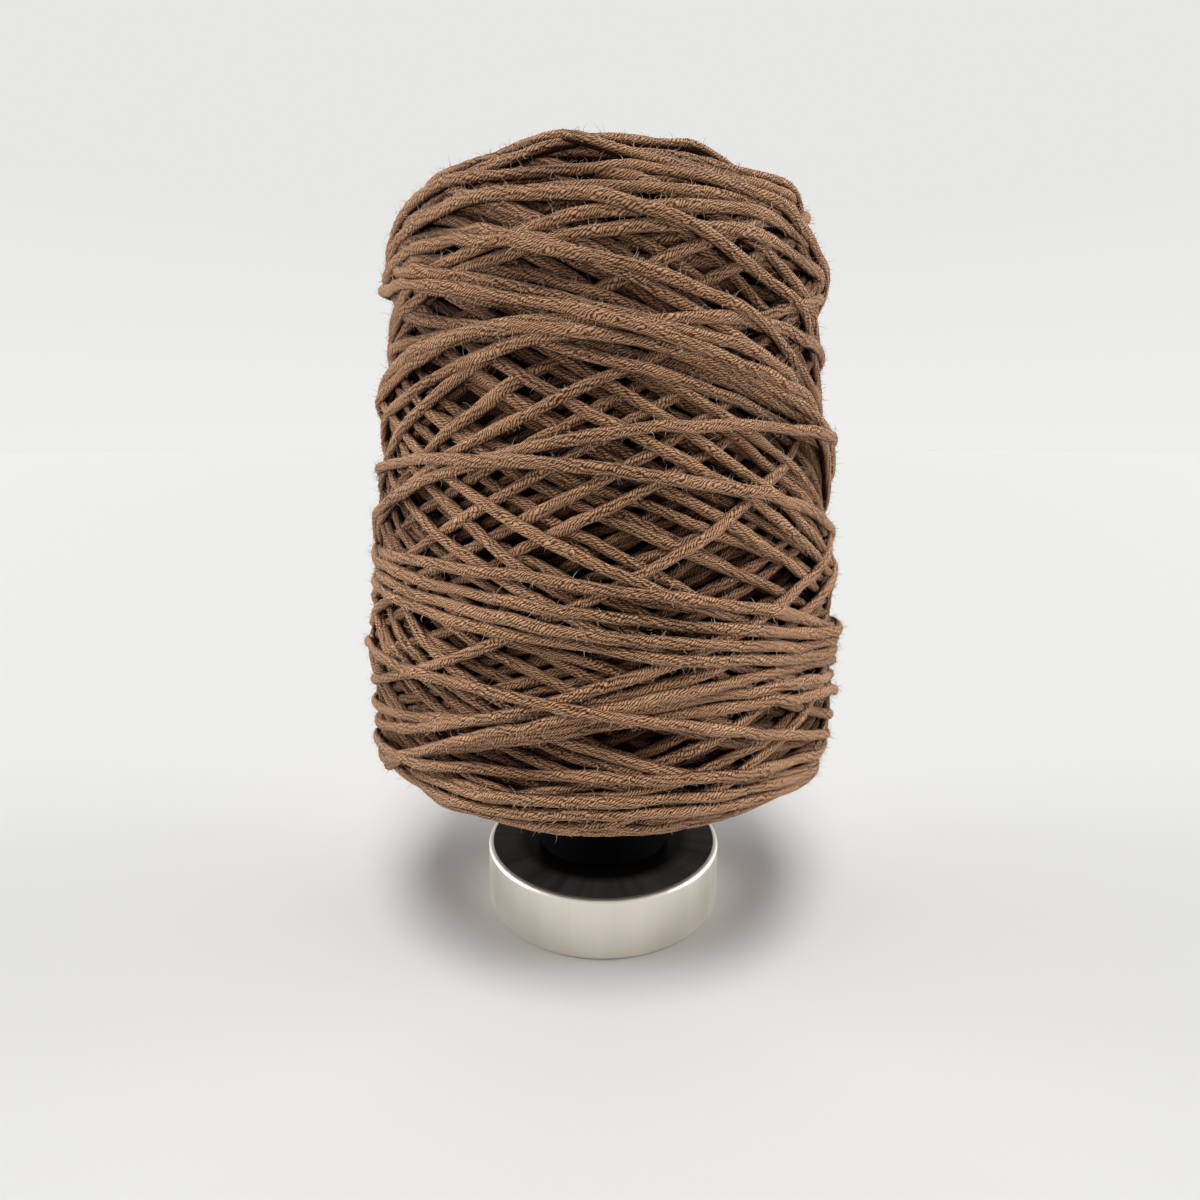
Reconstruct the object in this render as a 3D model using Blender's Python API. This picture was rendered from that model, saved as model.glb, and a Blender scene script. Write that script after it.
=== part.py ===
"""Cone of thick soft yarn on a round metal foot.

The yarn is one wound package: a cone with its wide end down, a sloping underside, a rounded
nose and a shallow eye in the top.  Its main turns climb and fall round it as raised ridges.
The short end of its core stands on the foot, a solid drum of polished metal.

Metres, +Z up.  The origin is the middle of the foot's underside, which stands on the surface.
"""

import math
from collections import namedtuple

import bmesh
import bpy
import numpy as np

# ---------------------------------------------------------------- driving sizes
FOOT_RADIUS = 0.0300
FOOT_HEIGHT = 0.0153
RIM_ROUND = 0.0010  # rounded upper edge of the drum
BASE_ROUND = 0.0005  # eased lower edge of the drum

CLEARANCE = 0.0003  # between pieces that rest on each other

CORE_BASE_RADIUS = 0.0170  # core end where it stands on the foot
CORE_TOP_RADIUS = 0.0160
CORE_ROUND = 0.0004

# The outline of the package over its main turns: from the edge of the plain spot under it,
# which the core end meets, round the side and over the nose, to the bottom of the eye.
Section = namedtuple("Section", "radius height")
OUTLINE = (
    Section(radius=0.0185, height=0.0330),
    Section(radius=0.0340, height=0.0366),
    Section(radius=0.0470, height=0.0413),
    Section(radius=0.0536, height=0.0449),
    Section(radius=0.0562, height=0.0510),
    Section(radius=0.0566, height=0.0620),
    Section(radius=0.0560, height=0.0760),
    Section(radius=0.0543, height=0.0920),
    Section(radius=0.0525, height=0.1080),
    Section(radius=0.0505, height=0.1240),
    Section(radius=0.0488, height=0.1400),
    Section(radius=0.0475, height=0.1520),
    Section(radius=0.0448, height=0.1614),
    Section(radius=0.0385, height=0.1677),
    Section(radius=0.0290, height=0.1712),
    Section(radius=0.0180, height=0.1724),
    Section(radius=0.0115, height=0.1716),
    Section(radius=0.0078, height=0.1690),
    Section(radius=0.0052, height=0.1654),
    Section(radius=0.0000, height=0.1642),
)

# The main turns.  Each one goes twice round the package while it climbs once and falls once,
# and swings by its reach to each side of the middle, measured along the outline.
MainTurn = namedtuple("MainTurn", "reach start_deg")
MAIN_TURNS = (
    MainTurn(reach=0.0880, start_deg=0.0),
    MainTurn(reach=0.0640, start_deg=31.0),
    MainTurn(reach=0.0760, start_deg=58.0),
    MainTurn(reach=0.0560, start_deg=92.0),
    MainTurn(reach=0.0820, start_deg=119.0),
    MainTurn(reach=0.0690, start_deg=152.0),
)
MIDDLE_HEIGHT = 0.1060  # of the turns, on the side of the package
RIDGE_HEIGHT = 0.0018  # of a main turn over the hollows between the turns
RIDGE_WIDTH = 0.0110
PLAIN_EDGE = 0.0080  # over which the turns rise from the plain spot and from the eye

COLUMNS = 96  # round the package
ROWS = 58  # along its outline
FOOT_SIDES = 72
CORE_SIDES = 48
ARC_STEPS = 4
SPLINE_STEPS = 24


# ---------------------------------------------------------------- helpers
def clear_scene():
    for thing in list(bpy.data.objects):
        bpy.data.objects.remove(thing, do_unlink=True)


def material(name, colour, roughness, metallic=0.0):
    finish = bpy.data.materials.new(name)
    finish.use_nodes = True
    shader = finish.node_tree.nodes["Principled BSDF"]
    shader.inputs["Base Color"].default_value = (*colour, 1.0)
    shader.inputs["Roughness"].default_value = roughness
    shader.inputs["Metallic"].default_value = metallic
    return finish


def place_mesh(name, bm, finish, sharp_deg):
    """Turns bm into a named object at the origin, shaded smooth but for its sharp edges."""
    bmesh.ops.recalc_face_normals(bm, faces=bm.faces)
    mesh = bpy.data.meshes.new(name)
    bm.to_mesh(mesh)
    bm.free()
    mesh.materials.append(finish)
    mesh.shade_smooth()
    mesh.set_sharp_from_angle(angle=math.radians(sharp_deg))
    thing = bpy.data.objects.new(name, mesh)
    bpy.context.scene.collection.objects.link(thing)
    return thing


def quarter_round(radius, height, size, from_deg, to_deg):
    """Points of an outline round an arc's centre; 0 degrees points outwards and 90 up."""
    angles = np.radians(np.linspace(from_deg, to_deg, ARC_STEPS + 1))
    return [(radius + size * math.cos(a), height + size * math.sin(a)) for a in angles]


def turned(name, outline, sides, finish):
    """A solid turned from (radius, height) points that start and end on the axis."""
    bm = bmesh.new()
    points = [bm.verts.new((radius, 0.0, height)) for radius, height in outline]
    for first, second in zip(points, points[1:]):
        bm.edges.new((first, second))
    bmesh.ops.spin(
        bm,
        geom=list(bm.verts) + list(bm.edges),
        cent=(0.0, 0.0, 0.0),
        axis=(0.0, 0.0, 1.0),
        angle=2.0 * math.pi,
        steps=sides,
        use_merge=True,
    )
    bmesh.ops.remove_doubles(bm, verts=bm.verts, dist=1e-6)
    return place_mesh(name, bm, finish, sharp_deg=35.0)


# ---------------------------------------------------------------- the metal foot
def make_foot():
    """A solid drum with an eased lower edge and a rounded rim round its flat top."""
    outline = [(0.0, 0.0)]
    outline += quarter_round(FOOT_RADIUS - BASE_ROUND, BASE_ROUND, BASE_ROUND, -90.0, 0.0)
    outline += quarter_round(FOOT_RADIUS - RIM_ROUND, FOOT_HEIGHT - RIM_ROUND, RIM_ROUND, 0.0, 90.0)
    outline += [(0.0, FOOT_HEIGHT)]
    finish = material("polished metal", colour=(0.62, 0.60, 0.54), roughness=0.22, metallic=1.0)
    return turned("foot", outline, FOOT_SIDES, finish)


# ---------------------------------------------------------------- the core end
def make_core_end():
    """The dark end of the core, tapering a little from the foot up to the package."""
    bottom = FOOT_HEIGHT + CLEARANCE
    top = OUTLINE[0].height - CLEARANCE
    outline = [(0.0, bottom)]
    outline += quarter_round(
        CORE_BASE_RADIUS - CORE_ROUND, bottom + CORE_ROUND, CORE_ROUND, -90.0, 0.0
    )
    outline += [(CORE_TOP_RADIUS, top), (0.0, top)]
    finish = material("dark core", colour=(0.02, 0.018, 0.017), roughness=0.6)
    return turned("core_end", outline, CORE_SIDES, finish)


# ---------------------------------------------------------------- the wound yarn
def smooth_outline():
    """Points of a smooth curve through the outline's sections, and the length along it."""
    knots = np.array(OUTLINE)
    before = 2 * knots[0] - knots[1]
    beyond_axis = knots[-2] * (-1, 1)
    knots = np.vstack((before, knots, beyond_axis))
    points = []
    for a, b, c, d in zip(knots, knots[1:], knots[2:], knots[3:]):
        for t in np.linspace(0.0, 1.0, SPLINE_STEPS, endpoint=False):
            bend = 2 * a - 5 * b + 4 * c - d
            twist = 3 * b - 3 * c + d - a
            points.append(0.5 * (2 * b + (c - a) * t + bend * t**2 + twist * t**3))
    points.append(knots[-2])
    points = np.array(points)
    steps = np.hypot(*np.diff(points, axis=0).T)
    along = np.concatenate(([0.0], np.cumsum(steps)))
    return points, along


def turn_rise(angle, place, radius, middle):
    """How far the main turns rise at a place along the outline, from 0 to 1 on a crest."""
    rise = 0.0
    for turn in MAIN_TURNS:
        for lap in (0.0, math.pi):
            phase = 0.5 * angle + lap + math.radians(turn.start_deg)
            crest = middle + turn.reach * math.sin(phase)
            slope = 0.5 * turn.reach * math.cos(phase) / max(radius, RIDGE_WIDTH)
            off_crest = abs(place - crest) / math.hypot(1.0, slope)
            if off_crest < RIDGE_WIDTH / 2:
                rise = max(rise, math.cos(math.pi * off_crest / RIDGE_WIDTH) ** 2)
    return rise


def make_yarn():
    """The wound package: rings of points sunk between the main turns, closed at both ends."""
    points, along = smooth_outline()
    length = along[-1]
    side = points[:, 1].argmax()
    middle = np.interp(MIDDLE_HEIGHT, points[:side, 1], along[:side])
    tangents = np.gradient(points, along, axis=0)

    bm = bmesh.new()
    rings = []
    rises = {}
    for place in np.linspace(0.0, length, ROWS + 1)[:-1]:
        radius, height = (np.interp(place, along, values) for values in points.T)
        run, climb = (np.interp(place, along, values) for values in tangents.T)
        plain = min(1.0, place / PLAIN_EDGE, (length - place) / PLAIN_EDGE)
        depth = RIDGE_HEIGHT * plain
        ring = []
        for angle in np.linspace(0.0, 2.0 * math.pi, COLUMNS, endpoint=False):
            rise = turn_rise(angle, place, radius, middle)
            sunk = depth * (1.0 - rise)
            out = radius - sunk * climb
            point = (out * math.cos(angle), out * math.sin(angle), height + sunk * run)
            vert = bm.verts.new(point)
            ring.append(vert)
            rises[vert] = rise
        rings.append(ring)

    # Each cell is split along its higher diagonal, so that the crests run unbroken.
    for lower, upper in zip(rings, rings[1:]):
        for i in range(COLUMNS):
            j = (i + 1) % COLUMNS
            a, b, c, d = lower[i], lower[j], upper[j], upper[i]
            if rises[a] + rises[c] < rises[b] + rises[d]:
                a, b, c, d = b, c, d, a
            bm.faces.new((a, b, c))
            bm.faces.new((a, c, d))
    for ring, section in ((rings[0], OUTLINE[0]), (rings[-1], OUTLINE[-1])):
        pole = bm.verts.new((0.0, 0.0, section.height))
        for i, start in enumerate(ring):
            bm.faces.new((start, ring[(i + 1) % COLUMNS], pole))
    finish = material("brown yarn", colour=(0.115, 0.062, 0.038), roughness=0.95)
    return place_mesh("yarn", bm, finish, sharp_deg=60.0)


clear_scene()
make_foot()
make_core_end()
make_yarn()
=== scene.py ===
"""A cone of thick brown yarn on a round metal foot, standing on a pale surface in soft light.

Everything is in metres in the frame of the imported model: +Z up, -Y towards the camera, the
origin in the middle of the foot's underside.
"""

import math
from collections import namedtuple
from functools import partial

import bpy
import numpy as np
from mathutils import Euler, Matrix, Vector


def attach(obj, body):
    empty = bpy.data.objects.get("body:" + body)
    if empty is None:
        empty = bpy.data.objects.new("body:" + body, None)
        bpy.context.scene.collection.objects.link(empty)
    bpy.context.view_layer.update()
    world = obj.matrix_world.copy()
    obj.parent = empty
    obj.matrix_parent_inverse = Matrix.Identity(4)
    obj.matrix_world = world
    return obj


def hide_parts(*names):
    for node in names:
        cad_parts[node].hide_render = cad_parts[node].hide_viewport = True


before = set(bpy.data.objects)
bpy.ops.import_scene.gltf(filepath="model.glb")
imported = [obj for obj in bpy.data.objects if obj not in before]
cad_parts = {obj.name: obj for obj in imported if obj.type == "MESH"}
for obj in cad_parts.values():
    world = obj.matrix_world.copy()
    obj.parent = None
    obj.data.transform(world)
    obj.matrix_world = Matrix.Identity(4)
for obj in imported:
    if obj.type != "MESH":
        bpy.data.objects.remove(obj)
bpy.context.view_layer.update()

scene = bpy.context.scene

# ======================================
# Camera.  It stands close to the cone, a little above the middle of the yarn, with a wide
# lens tilted down.  The turns of yarn below are placed by points of the photograph, which
# this camera throws on to the package.
# ======================================
PHOTO_SIDE = 1200  # pixels
FOCAL_LENGTH = 750.0  # pixels of the photograph
FILM_WIDTH = 36.0  # mm
CAMERA_PLACE = Vector((-0.00086, -0.1809, 0.1184))
CAMERA_TILT_DOWN = math.radians(12.47)

camera_data = bpy.data.cameras.new("camera")
camera_data.sensor_width = FILM_WIDTH
camera_data.lens = FOCAL_LENGTH / PHOTO_SIDE * FILM_WIDTH
camera = bpy.data.objects.new("camera", camera_data)
camera.location = CAMERA_PLACE
camera.rotation_euler = (math.radians(90.0) - CAMERA_TILT_DOWN, 0.0, 0.0)
scene.collection.objects.link(camera)
scene.camera = camera


def sight_line(pixel):
    """The direction from the camera through a pixel of the photograph."""
    across = (pixel[0] - PHOTO_SIDE / 2) / FOCAL_LENGTH
    down = (pixel[1] - PHOTO_SIDE / 2) / FOCAL_LENGTH
    turn = Euler(camera.rotation_euler).to_matrix()
    return (turn @ Vector((across, -down, -1.0))).normalized()


# ======================================
# Surface and light.  The cone stands on a wide pale surface under soft light from above in
# front and from both sides.  The side that it is looked at from is darker.
# ======================================
FLOOR_RADIUS = 6.0
FLOOR_SIDES = 96
FLOOR_COLOUR = (0.70, 0.70, 0.687)
TENT_COLOUR = (1.0, 0.998, 0.985)
TENT_SIDES = (-0.8, 0.1)  # of the directions towards the back, where the tent's light changes
TENT_LIGHT = (0.05, 0.20)  # in front and at the back
TENT_FADE = (0.0, 0.25)  # of the directions upwards, where what is seen of the tent changes
TENT_SEEN = (0.866, 0.80)  # by the eye, at the horizon and above it
TENT_IN_METAL = 0.60  # as the polished foot mirrors it
scene.view_settings.view_transform = "Standard"
scene.view_settings.look = "None"


def shader_of(finish):
    return finish.node_tree.nodes["Principled BSDF"]


def new_finish(name, colour, roughness, metallic=0.0):
    finish = bpy.data.materials.new(name)
    finish.use_nodes = True
    shader = shader_of(finish)
    shader.inputs["Base Color"].default_value = (*colour, 1.0)
    shader.inputs["Roughness"].default_value = roughness
    shader.inputs["Metallic"].default_value = metallic
    return finish


def mesh_piece(name, points, faces, finish):
    mesh = bpy.data.meshes.new(name)
    mesh.from_pydata([tuple(p) for p in points], [], faces)
    mesh.materials.append(finish)
    mesh.shade_smooth()
    piece = bpy.data.objects.new(name, mesh)
    scene.collection.objects.link(piece)
    return piece


def add_node(tree, kind, inputs=(), **settings):
    """A new node with its settings, and its inputs linked from sockets or set to values."""
    node = tree.nodes.new(kind)
    for key, value in settings.items():
        setattr(node, key, value)
    for key, value in dict(inputs).items():
        if isinstance(value, bpy.types.NodeSocket):
            tree.links.new(value, node.inputs[key])
        else:
            node.inputs[key].default_value = value
    return node


def map_range(tree, value, across, to=(0.0, 1.0)):
    """A value mapped from one range to another, and kept within it."""
    ranges = {"From Min": across[0], "From Max": across[1], "To Min": to[0], "To Max": to[1]}
    return add_node(tree, "ShaderNodeMapRange", {"Value": value, **ranges}).outputs[0]


def mixed(tree, share, first, second, kind="FLOAT"):
    """Two values or colours mixed, the second by its share."""
    inputs = {"Factor": share, "A": first, "B": second}
    return add_node(tree, "ShaderNodeMix", inputs, data_type=kind).outputs["Result"]


floor_angles = np.linspace(0.0, 2 * math.pi, FLOOR_SIDES, endpoint=False)
floor_points = [(FLOOR_RADIUS * math.cos(a), FLOOR_RADIUS * math.sin(a), 0.0) for a in floor_angles]
floor_finish = new_finish("pale surface", FLOOR_COLOUR, 0.9)
floor = mesh_piece("floor", floor_points, [tuple(range(FLOOR_SIDES))], floor_finish)

tent = bpy.data.worlds.new("light tent")
tent.use_nodes = True
tent_tree = tent.node_tree
tent_shade = tent_tree.nodes["Background"]
tent_shade.inputs["Color"].default_value = (*TENT_COLOUR, 1.0)
direction = add_node(tent_tree, "ShaderNodeTexCoord").outputs["Generated"]
axes = add_node(tent_tree, "ShaderNodeSeparateXYZ", {"Vector": direction}).outputs
tent_light = map_range(tent_tree, axes["Y"], TENT_SIDES, TENT_LIGHT)
tent_seen = map_range(tent_tree, axes["Z"], TENT_FADE, TENT_SEEN)
ray = add_node(tent_tree, "ShaderNodeLightPath").outputs
tent_mirrored = mixed(tent_tree, ray["Is Glossy Ray"], tent_light, TENT_IN_METAL)
tent_strength = mixed(tent_tree, ray["Is Camera Ray"], tent_mirrored, tent_seen)
tent_tree.links.new(tent_strength, tent_shade.inputs["Strength"])
scene.world = tent

SoftLight = namedtuple("SoftLight", "name bearing height_angle softness strength")
SOFT_LIGHTS = (
    SoftLight("front light", 0.0, 69.0, 22.0, 2.2),
    SoftLight("overhead light", 180.0, 84.0, 40.0, 0.35),
    SoftLight("left light", -96.0, 9.0, 40.0, 2.45),
    SoftLight("right light", 96.0, 9.0, 40.0, 2.45),
)
for light in SOFT_LIGHTS:
    lamp = bpy.data.lights.new(light.name, "SUN")
    lamp.angle = math.radians(light.softness)
    lamp.energy = light.strength
    holder = bpy.data.objects.new(light.name, lamp)
    tipped = math.radians(90.0 - light.height_angle)
    holder.rotation_euler = (tipped, 0.0, math.radians(light.bearing))
    scene.collection.objects.link(holder)

# ======================================
# The wound yarn.  One thick soft yarn, loosely twisted from several fine ones, is wound to
# and fro on a core, about one stroke to each turn round.  The turns cross in a lattice on
# the side and lie nearly level over the nose and under the lower edge.
# ======================================
Section = namedtuple("Section", "radius height")
OUTLINE = (
    Section(radius=0.0185, height=0.0330),
    Section(radius=0.0340, height=0.0366),
    Section(radius=0.0470, height=0.0413),
    Section(radius=0.0536, height=0.0449),
    Section(radius=0.0562, height=0.0510),
    Section(radius=0.0566, height=0.0620),
    Section(radius=0.0560, height=0.0760),
    Section(radius=0.0543, height=0.0920),
    Section(radius=0.0525, height=0.1080),
    Section(radius=0.0505, height=0.1240),
    Section(radius=0.0488, height=0.1400),
    Section(radius=0.0475, height=0.1520),
    Section(radius=0.0448, height=0.1614),
    Section(radius=0.0385, height=0.1677),
    Section(radius=0.0290, height=0.1712),
    Section(radius=0.0180, height=0.1724),
    Section(radius=0.0115, height=0.1716),
    Section(radius=0.0078, height=0.1690),
    Section(radius=0.0052, height=0.1654),
    Section(radius=0.0000, height=0.1642),
)
MIDDLE_HEIGHT = 0.1060  # of the turns on the side of the package
SIGHT_REACH = (0.10, 0.27)  # from the camera, nearer and farther than the yarn that it sees
SIGHT_STEP = 0.0002
STRAND_WIDTH = 0.0024
STRAND_THICKNESS = 0.0020
STROKES_PER_TURN = 0.49  # half a swing, up or down, for each turn round, nearly
SPLINE_STEPS = 24


def smooth_outline():
    """Points of a smooth curve through the outline's sections, and the length along it."""
    knots = np.array(OUTLINE)
    knots = np.vstack((2 * knots[0] - knots[1], knots, knots[-2] * (-1, 1)))
    points = []
    for a, b, c, d in zip(knots, knots[1:], knots[2:], knots[3:]):
        for t in np.linspace(0.0, 1.0, SPLINE_STEPS, endpoint=False):
            bend = 2 * a - 5 * b + 4 * c - d
            twist = 3 * b - 3 * c + d - a
            points.append(0.5 * (2 * b + (c - a) * t + bend * t**2 + twist * t**3))
    points.append(knots[-2])
    points = np.array(points)
    steps = np.hypot(*np.diff(points, axis=0).T)
    return points, np.concatenate(([0.0], np.cumsum(steps)))


outline, along_outline = smooth_outline()
outline_length = along_outline[-1]
outline_slope = np.gradient(outline, along_outline, axis=0)
outline_slope /= np.hypot(*outline_slope.T)[:, None]
apex = outline[:, 1].argmax()
middle_place = np.interp(MIDDLE_HEIGHT, outline[:apex, 1], along_outline[:apex])


def on_outline(place):
    """Radius, height and the outward direction (radial, upward) at places along the outline."""
    radius = np.interp(place, along_outline, outline[:, 0])
    height = np.interp(place, along_outline, outline[:, 1])
    outward = np.interp(place, along_outline, outline_slope[:, 1])
    upward = -np.interp(place, along_outline, outline_slope[:, 0])
    return radius, height, outward, upward


def on_package(angle, place, rise=0.0):
    """Points at angles round from the front and places along the outline, raised from it,
    and the outward directions there."""
    radius, height, outward, upward = on_outline(place)
    around = np.stack((np.sin(angle), -np.cos(angle)), axis=-1)
    out = np.concatenate(
        (around * np.asarray(outward)[..., None], np.asarray(upward)[..., None]), axis=-1
    )
    flat = around * np.asarray(radius)[..., None]
    points = np.concatenate((flat, np.asarray(height)[..., None]), axis=-1)
    return points + out * np.asarray(rise)[..., None], out


def seen_at(pixel):
    """The angle and the place on the package that a pixel of the photograph shows."""
    reach = np.arange(*SIGHT_REACH, SIGHT_STEP)[:, None]
    points = np.array(CAMERA_PLACE) + reach * np.array(sight_line(pixel))
    out = np.hypot(points[:, 0], points[:, 1])
    skin = np.interp(points[:, 2], outline[:apex, 1], outline[:apex, 0]) - STRAND_THICKNESS / 2
    skin[(points[:, 2] < outline[0, 1]) | (points[:, 2] > outline[apex, 1])] = -1.0
    inside = np.nonzero(out < skin)[0]
    hit = inside[0] if len(inside) else (out - skin).argmin()
    gaps = np.hypot(outline[:, 0] - out[hit], outline[:, 1] - points[hit, 2])
    return math.atan2(points[hit, 0], -points[hit, 1]), along_outline[gaps.argmin()]


# The turns that show in the photograph, from the lowest layer to the top one.  Each row has
# the pixels where a turn enters at the left, passes its middle and leaves at the right.
Turn = namedtuple("Turn", "layer left middle right")
SHOWN_TURNS = (
    # rising turns deep in the lattice
    Turn(1, (422, 397), (447, 384), (497, 369)),
    Turn(1, (501, 412), (544, 387), (563, 378)),
    Turn(1, (501, 441), (554, 416), (613, 387)),
    Turn(1, (616, 384), (641, 378), (688, 364)),
    Turn(1, (579, 412), (604, 409), (657, 417)),
    Turn(1, (760, 478), (779, 466), (797, 455)),
    Turn(1, (379, 537), (410, 506), (475, 480)),
    Turn(1, (416, 525), (441, 512), (485, 491)),
    Turn(1, (440, 565), (501, 537), (560, 512)),
    Turn(1, (510, 556), (560, 544), (640, 515)),
    Turn(1, (554, 575), (604, 547), (660, 530)),
    Turn(1, (665, 555), (710, 527), (760, 505)),
    Turn(1, (735, 562), (779, 534), (810, 517)),
    Turn(1, (640, 605), (688, 587), (754, 560)),
    Turn(1, (400, 665), (422, 656), (441, 649)),
    # falling turns over them
    Turn(2, (479, 378), (497, 391), (516, 402)),
    Turn(2, (535, 359), (616, 384), (688, 417)),
    Turn(2, (416, 403), (460, 428), (485, 441)),
    Turn(2, (604, 444), (647, 466), (680, 480)),
    Turn(2, (697, 441), (741, 466), (797, 503)),
    Turn(2, (479, 481), (522, 506), (572, 537)),
    Turn(2, (529, 475), (635, 528), (766, 584)),
    Turn(2, (438, 512), (460, 528), (482, 541)),
    Turn(2, (380, 515), (416, 537), (441, 553)),
    Turn(2, (426, 637), (450, 656), (480, 672)),
    # the lower edge
    Turn(2, (485, 831), (610, 840), (719, 832)),
    Turn(2, (438, 815), (610, 830), (776, 812)),
    Turn(2, (407, 793), (610, 818), (797, 796)),
    Turn(3, (397, 781), (616, 806), (819, 778)),
    Turn(3, (391, 765), (600, 799), (822, 765)),
    # the rising group below the middle
    Turn(2, (379, 656), (422, 634), (480, 622)),
    Turn(2, (400, 697), (485, 678), (580, 652)),
    Turn(2, (407, 712), (501, 684), (600, 660)),
    Turn(2, (400, 722), (532, 693), (650, 664)),
    Turn(3, (440, 728), (563, 698), (657, 674)),
    Turn(3, (516, 718), (616, 694), (713, 671)),
    Turn(3, (500, 745), (672, 715), (829, 692)),
    Turn(3, (470, 745), (641, 709), (829, 679)),
    Turn(3, (420, 752), (604, 709), (829, 662)),
    # the nose
    Turn(2, (530, 154), (610, 138), (791, 193)),
    Turn(2, (500, 160), (600, 150), (760, 186)),
    Turn(3, (470, 178), (601, 159), (745, 190)),
    Turn(3, (544, 184), (640, 186), (810, 232)),
    Turn(3, (432, 214), (505, 191), (626, 207)),
    Turn(3, (388, 262), (440, 227), (516, 237)),
    Turn(3, (507, 237), (610, 217), (720, 210)),
    Turn(3, (522, 243), (620, 228), (797, 251)),
    # the falling group above the middle
    Turn(2, (547, 251), (641, 262), (790, 262)),
    Turn(3, (719, 332), (772, 314), (822, 301)),
    Turn(2, (604, 270), (682, 293), (760, 300)),
    Turn(2, (585, 259), (666, 276), (776, 290)),
    Turn(3, (407, 286), (469, 295), (560, 315)),
    Turn(3, (404, 273), (522, 292), (719, 339)),
    Turn(3, (400, 262), (529, 270), (660, 314)),
    Turn(4, (400, 257), (485, 243), (751, 320)),
    # the falling group at the right and the great arc over it
    Turn(3, (710, 372), (760, 387), (816, 428)),
    Turn(3, (640, 362), (722, 391), (822, 440)),
    Turn(4, (395, 405), (463, 359), (540, 338)),
    Turn(5, (410, 358), (560, 328), (720, 360)),
    Turn(5, (729, 358), (779, 384), (835, 425)),
    Turn(5, (403, 365), (560, 319), (822, 415)),
    # low turns that lie loose on the others
    Turn(4, (650, 733), (715, 716), (804, 741)),
    Turn(5, (379, 742), (626, 780), (832, 752)),
    Turn(5, (379, 553), (563, 582), (822, 624)),
    Turn(5, (400, 603), (560, 645), (829, 655)),
    Turn(5, (385, 583), (560, 634), (829, 644)),
    Turn(6, (379, 566), (594, 618), (838, 635)),
    Turn(6, (400, 497), (600, 433), (829, 450)),
    Turn(6, (372, 470), (520, 461), (835, 528)),
)
MIDDLE_PULL = 0.02  # how firmly a turn seen on a short stretch only swings about the middle
FRONT_EDGE = math.radians(78.0)  # how far round from the front a shown turn keeps its course


def swing_terms(angle):
    swing = STROKES_PER_TURN * angle
    return np.array((1.0, math.sin(swing), 1.0 - math.cos(swing)))


def course_of(turn):
    """The swing of a shown turn: its place in front, its climb and its bend."""
    rows = []
    places = []
    for pixel in (turn.left, turn.middle, turn.right):
        angle, place = seen_at(pixel)
        rows.append(swing_terms(angle))
        places.append(place)
    rows.append(MIDDLE_PULL * np.array((1.0, 0.0, 1.0)))
    places.append(MIDDLE_PULL * middle_place)
    return np.linalg.lstsq(np.array(rows), np.array(places), rcond=None)[0]


def edge_state(course, angle):
    """Place and climb per radian of a course at an angle round from the front."""
    swing = STROKES_PER_TURN * angle
    climb = course[1] * math.cos(swing) + course[2] * math.sin(swing)
    return swing_terms(angle) @ course, STROKES_PER_TURN * climb


ROUND_THE_BACK = 2 * math.pi - 2 * FRONT_EDGE


def joining_strain(course, following):
    """How far the yarn would have to steer off its swing, from one turn into the next."""
    start, start_climb = edge_state(course, FRONT_EDGE)
    end, end_climb = edge_state(following, -FRONT_EDGE)
    swing = STROKES_PER_TURN * ROUND_THE_BACK
    start -= middle_place
    start_climb /= STROKES_PER_TURN
    free_end = start * math.cos(swing) + start_climb * math.sin(swing)
    free_climb = start_climb * math.cos(swing) - start * math.sin(swing)
    end_gap = end - middle_place - free_end
    return math.hypot(end_gap, end_climb / STROKES_PER_TURN - free_climb)


# Each turn is steered smoothly round the back into the next one.
STEPS_PER_TURN = 480
LOWEST_PLACE = 0.004
HIGHEST_PLACE = outline_length - 0.004
LATTICE_BOTTOM = 0.028
LATTICE_TOP = 0.178
TURNING_SPREAD = 0.014  # of the places where the swings turn back, to each side of these
SOFT_LIMIT = 0.9  # share of the way to the last place, past which a turn is held back
turn_angles = np.linspace(-math.pi, math.pi, STEPS_PER_TURN, endpoint=False)


def held_back(places, lowest=LOWEST_PLACE, highest=HIGHEST_PLACE):
    """Places kept between a lowest and a highest one."""
    centre = (highest + lowest) / 2
    half = (highest - lowest) / 2
    share = (places - centre) / half
    room = 1 - SOFT_LIMIT
    past = np.maximum(np.abs(share) - SOFT_LIMIT, 0.0)
    eased = np.minimum(np.abs(share), SOFT_LIMIT) + room * np.tanh(past / room)
    return centre + np.sign(share) * eased * half


def turn_places(before, course, after):
    """The places of a whole turn, from the back to the back, between its neighbours."""
    swing = STROKES_PER_TURN * turn_angles
    here = course[0] + np.sin(swing) * course[1] + (1 - np.cos(swing)) * course[2]
    joins = (
        (before, course, turn_angles < -FRONT_EDGE),
        (course, after, turn_angles > FRONT_EDGE),
    )
    for leaving, entering, behind in joins:
        start, start_climb = edge_state(leaving, FRONT_EDGE)
        end, end_climb = edge_state(entering, -FRONT_EDGE)
        t = ((turn_angles[behind] - FRONT_EDGE) % (2 * math.pi)) / ROUND_THE_BACK
        here[behind] = (
            (2 * t**3 - 3 * t**2 + 1) * start
            + (t**3 - 2 * t**2 + t) * ROUND_THE_BACK * start_climb
            + (3 * t**2 - 2 * t**3) * end
            + (t**3 - t**2) * ROUND_THE_BACK * end_climb
        )
    return here


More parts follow.
